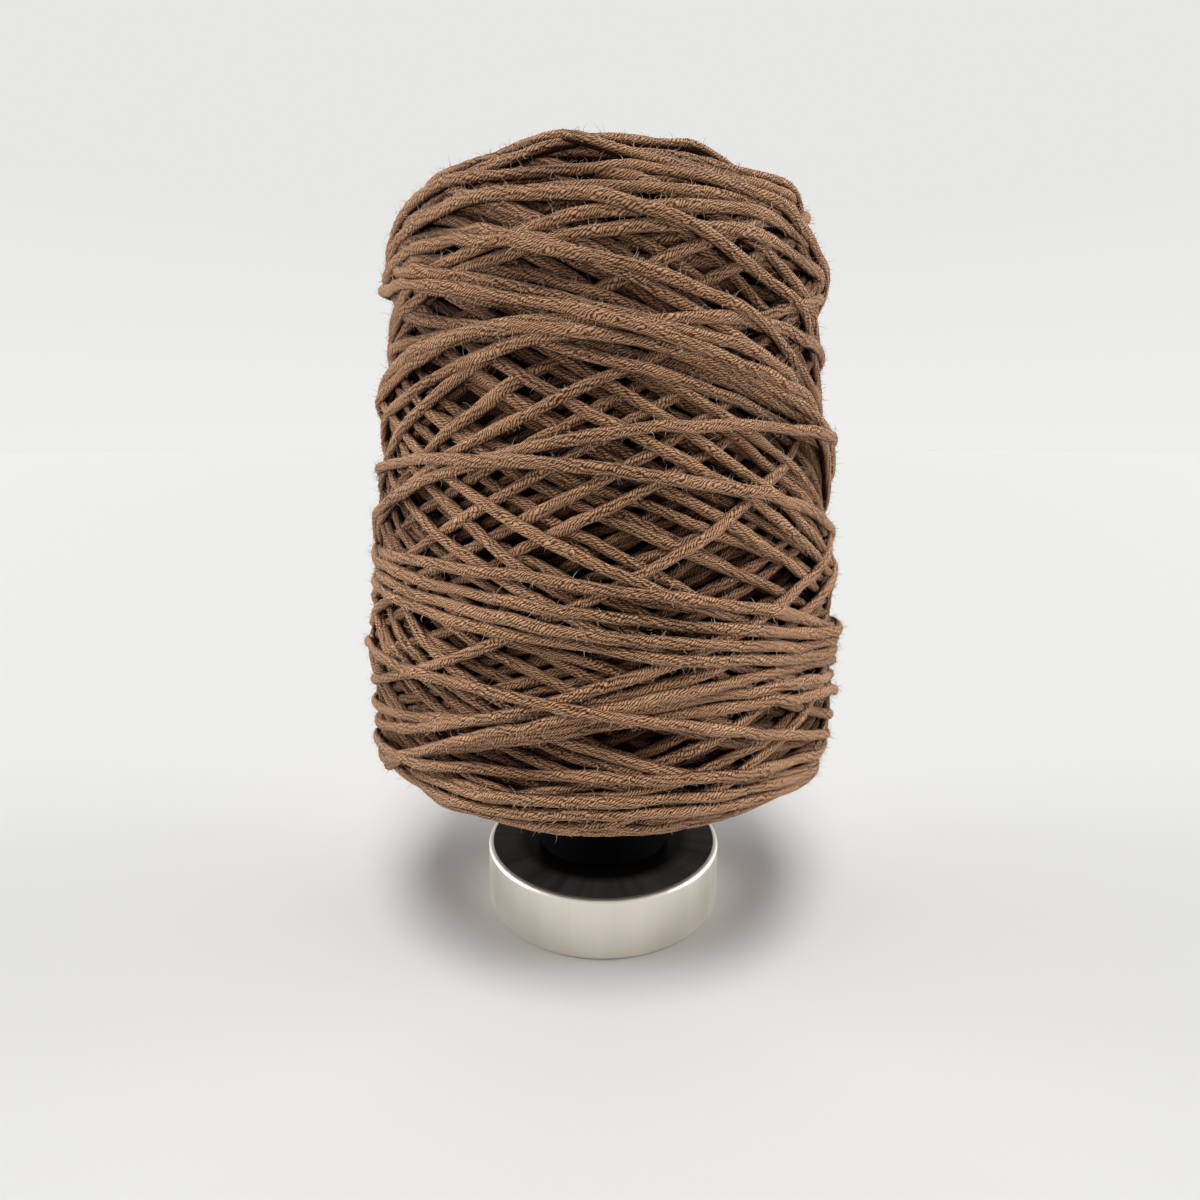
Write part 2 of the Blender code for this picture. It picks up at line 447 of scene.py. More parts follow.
# Laying.  Each turn drops on the turns below it, slides into the grooves and off the heaps
# between them, and then runs taut: it bridges the hollows and presses into what it crosses.
PLACE_CELL = 0.0005
PLACE_CELLS = int(outline_length / PLACE_CELL) + 1
HALF_WIDTH = STRAND_WIDTH / 2
HALF_THICKNESS = STRAND_THICKNESS / 2
SOFTNESS = 0.60  # share of its thickness that a strand keeps where it is pressed
SLIDE_IN_FRONT = 0.0013  # that a strand takes to come down by as much
SLIDE_AT_BACK = 0.0060
LONGEST_SLIDE = 0.0060
SLIDE_SMOOTH = 16  # steps
TAUT_SMOOTH = 2.0  # steps
BRIDGE_SMOOTH = 8  # steps
BRIDGE_RISE = 0.0012  # the most that a taut stretch stands over the hollows that it bridges
STEEPEST = 0.3  # slope of a turn as it climbs over what it crosses
SURE_EDGE = math.radians(55.0)  # how far round from the front a turn's course is well seen
LOOK_AHEAD = STEPS_PER_TURN // 4
SHIFTS_TRIED = 25
SHIFT_SMOOTH = 6  # steps
SHIFT_TOLERANCE = 0.0002  # of height, within which two places count as about as low
SMALLEST_RADIUS = 0.004
ROUND_SHARE = 0.96  # of a strand's width, over which its underside is round

# The core is thicker under its level end turns, as thick as the crossing turns between them.
END_FILL = 0.008
END_FILL_RUN = 0.020
cell_places = np.arange(PLACE_CELLS) * PLACE_CELL
fill = np.interp(cell_places, (LATTICE_BOTTOM, LATTICE_BOTTOM + END_FILL_RUN), (1.0, 0.0))
fill += np.interp(cell_places, (LATTICE_TOP - END_FILL_RUN, LATTICE_TOP), (0.0, 1.0))
pile = np.tile(END_FILL * fill * fill * (3 - 2 * fill), (STEPS_PER_TURN, 1))
across = np.linspace(-1.0, 1.0, 11)
underside = HALF_THICKNESS * (1.0 - np.sqrt(1.0 - (ROUND_SHARE * across) ** 2))


def smoothed(values, steps):
    reach = int(3 * steps) + 1
    weights = np.exp(-0.5 * (np.arange(-reach, reach + 1) / steps) ** 2)
    padded = np.pad(values, reach, mode="edge")
    return np.convolve(padded, weights / weights.sum(), mode="valid")


def cells_at(angle, place):
    column = np.rint((angle + math.pi) / (2 * math.pi) * STEPS_PER_TURN).astype(int)
    row = np.clip(np.rint(place / PLACE_CELL).astype(int), 0, PLACE_CELLS - 1)
    return column % STEPS_PER_TURN, row


def sideways(angle, place):
    """The unit step to the strand's side, as radians round and as metres along the outline."""
    radius = np.maximum(on_outline(place)[0], SMALLEST_RADIUS)
    climb = np.gradient(place)
    run = radius * np.gradient(angle)
    size = np.hypot(run, climb)
    return -climb / size / radius, run / size


def under(angle, place, side):
    """How high the strand's underside would lie on the pile."""
    offsets = across * HALF_WIDTH
    column, row = cells_at(
        angle[:, None] + side[0][:, None] * offsets, place[:, None] + side[1][:, None] * offsets
    )
    return (pile[column, row] - underside).max(axis=1)


def settling_shift(angle, place, hidden):
    """How far each step of a turn slides to its side.  A hidden one slides freely all round."""
    side = sideways(angle, place)
    shifts = np.linspace(-LONGEST_SLIDE, LONGEST_SLIDE, SHIFTS_TRIED)
    from_front = np.abs((angle + math.pi) % (2 * math.pi) - math.pi)
    freedom = np.clip((from_front - SURE_EDGE) / (FRONT_EDGE - SURE_EDGE), float(hidden), 1.0)
    slide = SLIDE_IN_FRONT + (SLIDE_AT_BACK - SLIDE_IN_FRONT) * freedom
    levels = []
    for shift in shifts:
        level = under(angle + side[0] * shift, place + side[1] * shift, side)
        levels.append(smoothed(level, SHIFT_SMOOTH) + shift**2 / slide)
    levels = np.array(levels)
    weights = np.exp(-(levels - levels.min(axis=0)) / SHIFT_TOLERANCE)
    return smoothed((weights * shifts[:, None]).sum(axis=0) / weights.sum(axis=0), SLIDE_SMOOTH)


def taut_over(support, lift):
    """The lowest taut line over the supports.  lift is how far a straight line rises over
    the curved package along the way."""
    level = support - lift
    hull = []
    for i, value in enumerate(level):
        while len(hull) > 1:
            a, b = hull[-2], hull[-1]
            if (level[b] - level[a]) * (i - a) > (value - level[a]) * (b - a):
                break
            hull.pop()
        hull.append(i)
    return np.interp(np.arange(len(level)), hull, level[hull]) + lift


def not_steeper(rise, steps):
    """Heights raised beside each step up, so that the stiff yarn leads up to it."""
    for order in (range(1, len(rise)), range(len(rise) - 2, -1, -1)):
        for i in order:
            neighbour = i - 1 if order.step > 0 else i + 1
            rise[i] = max(rise[i], rise[neighbour] - STEEPEST * steps[i])
    return rise


laid_angles = []
laid_places = []
laid_rises = []
resting = 0.0
sliding = 0.0
widest_limits = np.array((LOWEST_PLACE, HIGHEST_PLACE))
last_limits = widest_limits


def lay_turn(before, course, after, limits, hidden):
    """Lays a turn, and looks a quarter of a turn ahead to find what it rests on there."""
    global resting, sliding, last_limits
    place = np.concatenate(
        (turn_places(before, course, after), turn_places(course, after, after)[:LOOK_AHEAD])
    )
    t = np.clip(np.arange(len(place)) / STEPS_PER_TURN, 0.0, 1.0)[:, None]
    lowest, highest = (last_limits + (limits - last_limits) * t * t * (3 - 2 * t)).T
    last_limits = limits
    place = held_back(place, lowest, highest)
    angle = turn_angles[0] + np.arange(len(place)) * (2 * math.pi / STEPS_PER_TURN)
    side = sideways(angle, place)
    shift = settling_shift(angle, place, hidden)
    shift += (sliding - shift[0]) * np.exp(-np.arange(len(place)) / (2.0 * SLIDE_SMOOTH))
    angle = angle + side[0] * shift
    place = held_back(place + side[1] * shift)
    line, outward = on_package(angle, place)
    steps = np.linalg.norm(np.gradient(line, axis=0), axis=1)
    heading = np.gradient(line, axis=0) / steps[:, None]
    bend = -(np.gradient(heading, axis=0) / steps[:, None] * outward).sum(axis=1)
    lift = np.cumsum(np.cumsum(np.maximum(bend, 0.0) * steps) * steps)
    side = sideways(angle, place)
    support = under(angle, place, side)
    support[0] = resting
    rise = np.minimum(taut_over(support, lift), smoothed(support, BRIDGE_SMOOTH) + BRIDGE_RISE)
    rise = smoothed(not_steeper(np.maximum(rise, support), steps), TAUT_SMOOTH)
    resting = rise[STEPS_PER_TURN]
    sliding = shift[STEPS_PER_TURN]
    fine = np.arange(0.0, STEPS_PER_TURN, 0.5)
    coarse = np.arange(len(angle))
    angle_at, place_at, around, up, rise_at = (
        np.interp(fine, coarse, values)[:, None] for values in (angle, place, *side, rise)
    )
    offsets = across * HALF_WIDTH
    column, row = cells_at(angle_at + around * offsets, place_at + up * offsets)
    crown = SOFTNESS * (STRAND_THICKNESS - underside)
    np.maximum.at(pile, (column, row), rise_at + crown)
    laid = slice(0, STEPS_PER_TURN)
    laid_angles.append(angle[laid] + 2 * math.pi * len(laid_angles))
    laid_places.append(place[laid])
    laid_rises.append(rise[laid])


# First come the level turns over the two ends of the core, from the core outwards: under the
# package and round the eye.
END_PITCH = 0.0023
END_SWAY = 0.0016
END_MARGIN = 0.006  # before the first level turn at each end
LOWER_END = 0.034  # place where the level turns under the package end
UPPER_END = 0.166  # and where the ones round the eye do
PLACES_BETWEEN = (0.070, 0.130)  # of the two steep turns that lead from the one to the other
CLIMB_BETWEEN = 0.05
rng = np.random.default_rng(11)
end_courses = []


def add_level_turns(first, last, pitch):
    for place in np.arange(first, last, pitch):
        end_courses.append(np.array((place, rng.normal(0.0, END_SWAY), rng.normal(0.0, END_SWAY))))


add_level_turns(END_MARGIN, LOWER_END, END_PITCH)
for place in PLACES_BETWEEN:
    end_courses.append(np.array((place, CLIMB_BETWEEN, 0.0)))
add_level_turns(outline_length - END_MARGIN, UPPER_END, -END_PITCH)

# Then come the crossing turns: hidden ones, and in the end the shown ones, layer by layer.
# A hidden turn swings by the rule of the winding, and takes the course that finds the lowest
# ground of a few.
HIDDEN_REACH = (0.028, 0.074)  # least and most, to each side of the middle
LATE_REACH = (0.044, 0.063)  # of the turns near the surface
HIDDEN_LEAN = 0.005
HIDDEN_CHOICE = 60  # courses tried for a turn
DEEP = 0.0012  # that makes ground count as deep
MOST_DEEP = 3.0  # times that, and ground counts as no deeper
STRAIN_COST = 4.0
HIDDEN_BEFORE_LAYER = {1: 96, 2: 50, 3: 46, 4: 0, 5: 0, 6: 0}


def hidden_course(previous, reaches):
    """The course, of some that follow the previous turn well, that lies lowest."""
    best = None
    even = np.median(pile)
    for _ in range(HIDDEN_CHOICE):
        swing = rng.uniform(0.0, 2 * math.pi)
        reach = rng.uniform(*reaches)
        climbed = reach * math.sin(swing)
        lean = rng.normal(0.0, HIDDEN_LEAN)
        course = np.array((middle_place + lean + climbed, reach * math.cos(swing), -climbed))
        place = held_back(turn_places(previous, course, course), LATTICE_BOTTOM, LATTICE_TOP)
        ground = under(turn_angles, place, sideways(turn_angles, place))[: -LOOK_AHEAD]
        depth = np.clip((even - ground) / DEEP, -MOST_DEEP, MOST_DEEP)
        cost = STRAIN_COST * joining_strain(previous, course) - np.exp(depth).mean()
        if best is None or cost < best[0]:
            best = (cost, course)
    return best[1]


before = end_courses[0]
for course, after in zip(end_courses, end_courses[1:]):
    lay_turn(before, course, after, widest_limits, hidden=False)
    before = course
course = end_courses[-1]
hidden = False
for layer, hidden_turns in HIDDEN_BEFORE_LAYER.items():
    waiting = [course_of(turn) for turn in SHOWN_TURNS if turn.layer == layer]
    for number in range(hidden_turns + len(waiting)):
        if number < hidden_turns:
            after = hidden_course(course, HIDDEN_REACH if layer == 1 else LATE_REACH)
        else:
            strains = [joining_strain(course, candidate) for candidate in waiting]
            after = waiting.pop(int(np.argmin(strains)))
        limits = rng.uniform(-TURNING_SPREAD, TURNING_SPREAD, 2) + (LATTICE_BOTTOM, LATTICE_TOP)
        lay_turn(before, course, after, limits, hidden)
        before, course, hidden = course, after, number < hidden_turns
lay_turn(before, course, course, limits, hidden)

angles = np.concatenate(laid_angles)
places = np.concatenate(laid_places)
strand_rise = smoothed(np.concatenate(laid_rises), TAUT_SMOOTH) + SOFTNESS * HALF_THICKNESS

# The pile is pressed to the outline: its height, evened out over a few turns' width, is taken
# off, so that the outermost turns reach the outline everywhere.
EVEN_OUT = 0.0070
CREST = 1.2  # of the outermost turns, over the even level, in shares of the unevenness
MEAN_RADIUS = 0.045  # of the package
cell_width = 2 * math.pi * MEAN_RADIUS / STEPS_PER_TURN
wrap = STEPS_PER_TURN // 4


def evened(heights, reach):
    heights = np.array([smoothed(column, reach / PLACE_CELL) for column in heights])
    heights = np.vstack((heights[-wrap:], heights, heights[:wrap]))
    heights = np.array([smoothed(row, reach / cell_width) for row in heights.T]).T
    return heights[wrap:-wrap]


level = evened(pile, EVEN_OUT)
level = level + CREST * np.sqrt(evened((pile - level) ** 2, EVEN_OUT))


def level_at(angle, place, heights=level):
    """The level of the outermost turns over the bare core, between the grid's cells."""
    column = (angle + math.pi) / (2 * math.pi) * STEPS_PER_TURN
    row = np.clip(place / PLACE_CELL, 0, PLACE_CELLS - 1.001)
    left, low = np.floor(column).astype(int), np.floor(row).astype(int)
    u, v = column - left, row - low
    left, right = left % STEPS_PER_TURN, (left + 1) % STEPS_PER_TURN
    near = heights[left, low] * (1 - v) + heights[left, low + 1] * v
    far = heights[right, low] * (1 - v) + heights[right, low + 1] * v
    return near * (1 - u) + far * u


# The deeper the turns lie, the more the ones over them press them together, and what stands
# out over the even level is drawn in towards it.
DEEPEST = 0.0065
HIGHEST = 0.0012
EDGE_DEPTH = 0.0006
EDGE_SMOOTH = 4  # steps
TUCKED_STEPS = 50  # of the last turn, whose end is tucked in under the others
TUCKED_DEPTH = 0.0060


def pressed(depth):
    """How deep something lies after pressing, of how deep it was laid."""
    inner = DEEPEST * (1.0 - np.exp(-np.maximum(depth, 0.0) / DEEPEST))
    outer = HIGHEST * (1.0 - np.exp(np.minimum(depth, 0.0) / HIGHEST))
    return inner - outer


# Over the nose and round the lower edge the outermost turns keep within the outline.
LOWER_EDGE = (LATTICE_BOTTOM + 0.017, LATTICE_BOTTOM + 0.032)
NOSE = (LATTICE_TOP, LATTICE_TOP + 0.016)
least_depth = np.interp(
    places, (*LOWER_EDGE, *NOSE), (EDGE_DEPTH, -HIGHEST, -HIGHEST, EDGE_DEPTH)
)
strand_depth = pressed(level_at(angles, places) - strand_rise)
over = np.maximum(least_depth - strand_depth, 0.0)
strand_depth += smoothed(over, EDGE_SMOOTH)
strand_depth[-TUCKED_STEPS:] += TUCKED_DEPTH * np.linspace(0.0, 1.0, TUCKED_STEPS) ** 2
strand_line, strand_out = on_package(angles, places, -strand_depth)


# The yarn as round strands.  A strand is a tube along its path, lobed by the plies that turn
# slowly round each other in it, and a little flatter than wide.
PLIES = 7
PLY_TURN = 0.040  # along the strand for one turn of the plies round it
PLY_GROOVE = 0.08  # of the strand's radius
FLATNESS = 0.92  # thickness over width, where nothing presses on the strand


def made(tree, kind, inputs=(), **settings):
    """The first output of a new node."""
    return add_node(tree, kind, inputs, **settings).outputs[0]


def math_node(tree, operation, *values):
    """The output of a Math node on sockets or numbers."""
    return made(tree, "ShaderNodeMath", dict(enumerate(values)), operation=operation)


def vector_node(tree, operation, *values, output="Vector"):
    """An output of a Vector Math node on sockets or vectors."""
    node = add_node(tree, "ShaderNodeVectorMath", dict(enumerate(values)), operation=operation)
    return node.outputs[output]


def scaled(tree, vector, scale):
    """A vector times a number."""
    return made(tree, "ShaderNodeVectorMath", {0: vector, "Scale": scale}, operation="SCALE")


def new_tree(name, sizes):
    """A Geometry Nodes tree with a geometry input and output, named sizes and a finish."""
    tree = bpy.data.node_groups.new(name, "GeometryNodeTree")
    tree.is_modifier = True

    def socket(name, kind, way="INPUT"):
        return tree.interface.new_socket(name, in_out=way, socket_type="NodeSocket" + kind)

    socket("Geometry", "Geometry")
    for size, value in sizes.items():
        socket(size, "Int" if isinstance(value, int) else "Float").default_value = value
    socket("Finish", "Material")
    socket("Geometry", "Geometry", "OUTPUT")
    tree.nodes.new("NodeGroupInput")
    tree.nodes.new("NodeGroupOutput")
    return tree


def stored(tree, name, kind):
    """A named attribute of the geometry."""
    node = add_node(tree, "GeometryNodeInputNamedAttribute", {"Name": name}, data_type=kind)
    return node.outputs["Attribute"]


def store(tree, geometry, name, value):
    """The geometry with a vector stored on its points."""
    inputs = {"Geometry": geometry, "Name": name, "Value": value}
    return made(tree, "GeometryNodeStoreNamedAttribute", inputs, data_type="FLOAT_VECTOR")


def finish_tree(tree, geometry):
    """Ends a tree: instances made real, and the finish set."""
    real = made(tree, "GeometryNodeRealizeInstances", {"Geometry": geometry})
    inputs = {"Geometry": real, "Material": tree.nodes["Group Input"].outputs["Finish"]}
    finished = made(tree, "GeometryNodeSetMaterial", inputs)
    tree.links.new(finished, tree.nodes["Group Output"].inputs[0])


def grown(piece, tree, **sizes):
    """The piece as a plain mesh, after the tree has worked on it with these sizes."""
    modifier = piece.modifiers.new(tree.name, "NODES")
    modifier.node_group = tree
    for item in tree.interface.items_tree:
        name = item.name.replace(" ", "_")
        if item.in_out == "INPUT" and name in sizes:
            modifier[item.identifier] = sizes[name]
    seen = piece.evaluated_get(bpy.context.evaluated_depsgraph_get())
    mesh = bpy.data.meshes.new_from_object(seen)
    piece.modifiers.clear()
    piece.data = mesh
    return piece


strand_tree = new_tree(
    "strand along a path", {"Width": 0.0025, "Flatness": 0.8, "Plies": 9, "Ply Groove": 0.1}
)
strand_node = partial(made, strand_tree)
strand_math = partial(math_node, strand_tree)
sizes = strand_tree.nodes["Group Input"].outputs
outward_side = stored(strand_tree, "outward", "FLOAT_VECTOR")
twist = stored(strand_tree, "twist", "FLOAT")
position = strand_node("GeometryNodeInputPosition")

# The path, turned outwards, twisted and marked with its own places.
path = strand_node("GeometryNodeMeshToCurve", {"Mesh": sizes["Geometry"]})
path = strand_node(
    "GeometryNodeSetCurveNormal", {"Curve": path, "Normal": outward_side}, mode="FREE"
)
path = strand_node("GeometryNodeSetCurveTilt", {"Curve": path, "Tilt": twist})
path = store(strand_tree, path, "middle", position)

# The ring round it, with a corner on every ply and one in every groove.
corners = strand_math("MULTIPLY", sizes["Plies"], 2.0)
ring = strand_node("GeometryNodeCurvePrimitiveCircle", {"Resolution": corners, "Radius": 0.5})
ring = store(strand_tree, ring, "around", position)
every_other = strand_math("MODULO", strand_node("GeometryNodeInputIndex"), 2.0)
groove = strand_math("MULTIPLY", every_other, sizes["Ply Groove"])
ring_width = strand_math("MULTIPLY", strand_math("SUBTRACT", 1.0, groove), sizes["Width"])
lobed = scaled(strand_tree, position, ring_width)
ring = strand_node("GeometryNodeSetPosition", {"Geometry": ring, "Position": lobed})

# The tube, pressed a little flatter than wide.
tube = strand_node(
    "GeometryNodeCurveToMesh",
    {
        "Curve": path,
        "Profile Curve": ring,
        "Scale": stored(strand_tree, "fullness", "FLOAT"),
        "Fill Caps": True,
    },
)
middle = stored(strand_tree, "middle", "FLOAT_VECTOR")
from_middle = vector_node(strand_tree, "SUBTRACT", position, middle)
height = vector_node(strand_tree, "DOT_PRODUCT", from_middle, outward_side, output="Value")
pressing = strand_math("MULTIPLY", height, strand_math("SUBTRACT", sizes["Flatness"], 1.0))
pressing = scaled(strand_tree, outward_side, pressing)
tube = strand_node("GeometryNodeSetPosition", {"Geometry": tube, "Offset": pressing})
finish_tree(strand_tree, strand_node("GeometryNodeSetShadeSmooth", {"Geometry": tube}))

# The finish of the yarn.  Every ply is itself two finer yarns twisted together, whose short
# slanting stretches show in rows, with grooves between the rows, painted dark as painted shade,
# and a haze of fibres.
STITCH = 0.00064  # along the strand, from one slanting stretch to the next
STITCH_SLANT = 1.8  # stretches that a slant crosses on its way over a ply
ROW_START = 0.618  # of a stretch, by which the stretches of one ply come after the next one's
BULGE = (0.72, 0.26)  # how much a stretch stands out in its middle, and at its ends
PLY_RELIEF = 0.00028
PLY_ROUNDNESS = -1.9  # by which the rows sink beside their middles
TONE_HEIGHTS = (0.20, 0.50, 0.85)  # of the grooves, the plies and the ridges
HAZE = 0.30  # the most that the loose fibres hide of the plies
WISP_SIZE = 0.00045
WISP_EDGES = (-0.02, 0.22)
SHEEN = 0.50  # of the fuzz on the outer turns
SHEEN_TINT = (0.80, 0.52, 0.36)
# DUSK and FLANK set painted shade: the yarn's colour is painted darker with depth and on each
# strand's shaded side.
DUSK = (0.0018, 0.0050)  # depths between which the light fades
FLANK = (-0.20, 0.60)  # from a strand's shaded side to its lit one

# How the yarn varies: the size of each change along it, and its amount.
ROWS_WANDER = (0.0016, 1.5)  # rows
STITCHES_DRIFT = (0.0060, 5.0)  # stretches
STITCHES_WANDER = (0.0012, 0.8)
LOOSENESS_VARIES = (0.0120, 5.0)
FIBRES_STAND_OUT = (0.00028, 0.95)


def object_place(tree):
    return add_node(tree, "ShaderNodeTexCoord").outputs["Object"]


def attribute_of(tree, name, output="Fac"):
    return add_node(tree, "ShaderNodeAttribute", attribute_name=name).outputs[output]


def noise_on(tree, place, scale, detail):
    """Noise from 0 to 1 that changes with the place."""
    inputs = {"Vector": place, "Scale": scale, "Detail": detail}
    return add_node(tree, "ShaderNodeTexNoise", inputs).outputs["Fac"]


def colours_by(tree, value, *stops):
    """Colours that follow a value through stops, each a value and its colour."""
    node = add_node(tree, "ShaderNodeValToRGB", {"Fac": value})
    elements = node.color_ramp.elements
    for number, (position, colour) in enumerate(stops):
        stop = elements[number] if number < len(elements) else elements.new(position)
        stop.position = position
        stop.color = (*colour, 1.0)
    return node.outputs["Color"]


def feed(tree, socket, name):
    """Links a socket to an input of the finish's shader."""
    tree.links.new(socket, tree.nodes["Principled BSDF"].inputs[name])


def raise_grain(tree, height, strength, distance):
    """Makes the surface of a finish uneven."""
    inputs = {"Height": height, "Strength": strength, "Distance": distance}
    feed(tree, add_node(tree, "ShaderNodeBump", inputs).outputs["Normal"], "Normal")


def yarn_finish_of(name, groove, ply, ridge, haze_colour, painted_shade_colour):
    """Colours run from the grooves between the plies, over the plies, to their ridges, darker in
    the grooves as painted shade, and are painted darker between the outer turns and on the
    strands' shaded sides, as painted shade where little light gets past the fuzz."""
    finish = new_finish(name, ply, 0.95)
    tree = finish.node_tree
    shader = shader_of(finish)
    shader.inputs["Sheen Roughness"].default_value = 0.45
    shader.inputs["Sheen Tint"].default_value = (*SHEEN_TINT, 1.0)
    shader.inputs["Specular IOR Level"].default_value = 0.15
    maths = partial(math_node, tree)
    place = object_place(tree)

    def wandering(value, size, amount, detail=1.0):
        """The value, off by up to half the amount, and otherwise so after about the size."""
        noise = maths("SUBTRACT", noise_on(tree, place, 1.0 / size, detail), 0.5)
        return maths("MULTIPLY_ADD", noise, amount, value)

    # Rows of plies.
    around = attribute_of(tree, "around", "Vector")
    sides = add_node(tree, "ShaderNodeSeparateXYZ", {"Vector": around}).outputs
    angle = maths("ARCTAN2", sides["Y"], sides["X"])
    across = wandering(maths("MULTIPLY", angle, PLIES / (2 * math.pi)), *ROWS_WANDER)
    across = maths("WRAP", across, PLIES / 2, -PLIES / 2)
    row = maths("ROUND", across)
    off_row = maths("SUBTRACT", across, row)

    # Slanting stretches in each row, some tight and some loose, and fine fibres over them.
    row_start = maths("MULTIPLY", row, ROW_START)
    stitch = maths("MULTIPLY_ADD", attribute_of(tree, "along"), 1.0 / STITCH, row_start)
    stitch = maths("MULTIPLY_ADD", off_row, STITCH_SLANT, stitch)
    stitch = wandering(wandering(stitch, *STITCHES_DRIFT), *STITCHES_WANDER)
    wave = maths("SINE", maths("MULTIPLY", stitch, math.pi))
    bulge = maths("MULTIPLY_ADD", maths("ABSOLUTE", wave), *BULGE)
    looseness = wandering(PLY_ROUNDNESS, *LOOSENESS_VARIES)
    crown = maths("MULTIPLY_ADD", maths("MULTIPLY", off_row, off_row), looseness, 1.0)
    relief = wandering(maths("MULTIPLY", crown, bulge), *FIBRES_STAND_OUT, detail=3.0)
    raise_grain(tree, relief, strength=1.0, distance=PLY_RELIEF)

    # The colour follows the relief, darker from the ridges down into the grooves, as painted
    # shade.  A haze of fine pale fibres lies over the plies in wisps.
    tone = colours_by(tree, relief, *zip(TONE_HEIGHTS, (groove, ply, ridge)))
    wisps = wandering(0.0, WISP_SIZE, 1.0, detail=4.0)
    wisps = map_range(tree, wisps, WISP_EDGES, (0.0, HAZE))
    hazy = mixed(tree, wisps, tone, (*haze_colour, 1.0), "RGBA")

    # Less light gets to the deeper turns, and to the sides of each: their colour is painted
    # darker as painted shade, and their sheen is dimmed with it.
    dusk = map_range(tree, attribute_of(tree, "depth"), DUSK, (1.0, 0.0))
    normal = add_node(tree, "ShaderNodeNewGeometry").outputs["Normal"]
    outward = attribute_of(tree, "outward", "Vector")
    facing = vector_node(tree, "DOT_PRODUCT", normal, outward, output="Value")
    light_reach = maths("MULTIPLY", dusk, map_range(tree, facing, FLANK))
    dimming = colours_by(tree, light_reach, (0.0, painted_shade_colour), (1.0, (1.0, 1.0, 1.0)))
    feed(tree, vector_node(tree, "MULTIPLY", hazy, dimming), "Base Color")
    feed(tree, maths("MULTIPLY", light_reach, SHEEN), "Sheen Weight")
    return finish


# The ridge colour is the yarn's own brown; the ply and groove colours are it darkened as painted
# shade.
yarn_finish = yarn_finish_of(
    "brown yarn",
    groove=(0.010, 0.0028, 0.0011),
    ply=(0.158, 0.062, 0.026),
    ridge=(0.760, 0.430, 0.240),
    haze_colour=(0.640, 0.390, 0.240),
    # the colour of painted shade, deep between the outer turns and on the strands' shaded sides
    painted_shade_colour=(0.07, 0.024, 0.011),
)

# The whole length goes into pieces that follow one another.  Stretches that lie buried under
# the others are left out of them.
strand_along = np.concatenate(
    ([0.0], np.cumsum(np.linalg.norm(np.diff(strand_line, axis=0), axis=1)))
)
SHOWING_RUN = 0.006  # along the strand, over which it is found whether it shows
SHOWING_DEPTH = 0.0001
SHOWING_SHARE = 0.05  # of the run
LOWER_REACH = 3  # cells
LOWER_SMOOTH = 0.0006


def lowest_form(reach, smoothness):
    """The lowest heights of the pile for some cells round, evened out."""
    heights = pile
    for axis in (0, 1):
        shifts = range(-reach, reach + 1)
        heights = np.min([np.roll(heights, shift, axis) for shift in shifts], axis=0)
    return evened(heights, smoothness)


lower_form = lowest_form(LOWER_REACH, LOWER_SMOOTH)
strand_top = strand_rise + HALF_THICKNESS - level_at(angles, places, lower_form)
strand_shows = (strand_top > -SHOWING_DEPTH).astype(float)
showing_steps = SHOWING_RUN / (strand_along[-1] / len(strand_along))
strand_shows = smoothed(strand_shows, showing_steps / 2) > SHOWING_SHARE

Stretch = namedtuple("Stretch", "name first_turn last_turn step lobes")
ALL_TURNS = len(laid_angles)
STRETCHES = (
    Stretch("yarn_turns_inner", 0, ALL_TURNS - 105, 0.0042, 6),
    Stretch("yarn_turns_deep", ALL_TURNS - 105, ALL_TURNS - 70, 0.0034, 6),
    Stretch("yarn_turns_lower", ALL_TURNS - 70, ALL_TURNS - 42, 0.0025, 8),
    Stretch("yarn_turns_middle", ALL_TURNS - 42, ALL_TURNS - 20, 0.0022, 10),
    Stretch("yarn_turns_outer", ALL_TURNS - 20, ALL_TURNS, 0.0020, 10),
)
SWELL_SPACING = 0.006  # between the places where the soft yarn swells, twists and sways anew
PAST_END = 0.02
SWELL = 0.085  # of its width
TWIST_WANDER = 0.3  # radians from place to place
SWAY = 0.00020  # off its taut course
swell_places = np.arange(0.0, strand_along[-1] + PAST_END, SWELL_SPACING)
swell = rng.normal(1.0, SWELL, len(swell_places))
twist_wander = np.cumsum(rng.normal(0.0, TWIST_WANDER, len(swell_places)))
sway = rng.normal(0.0, SWAY, len(swell_places))


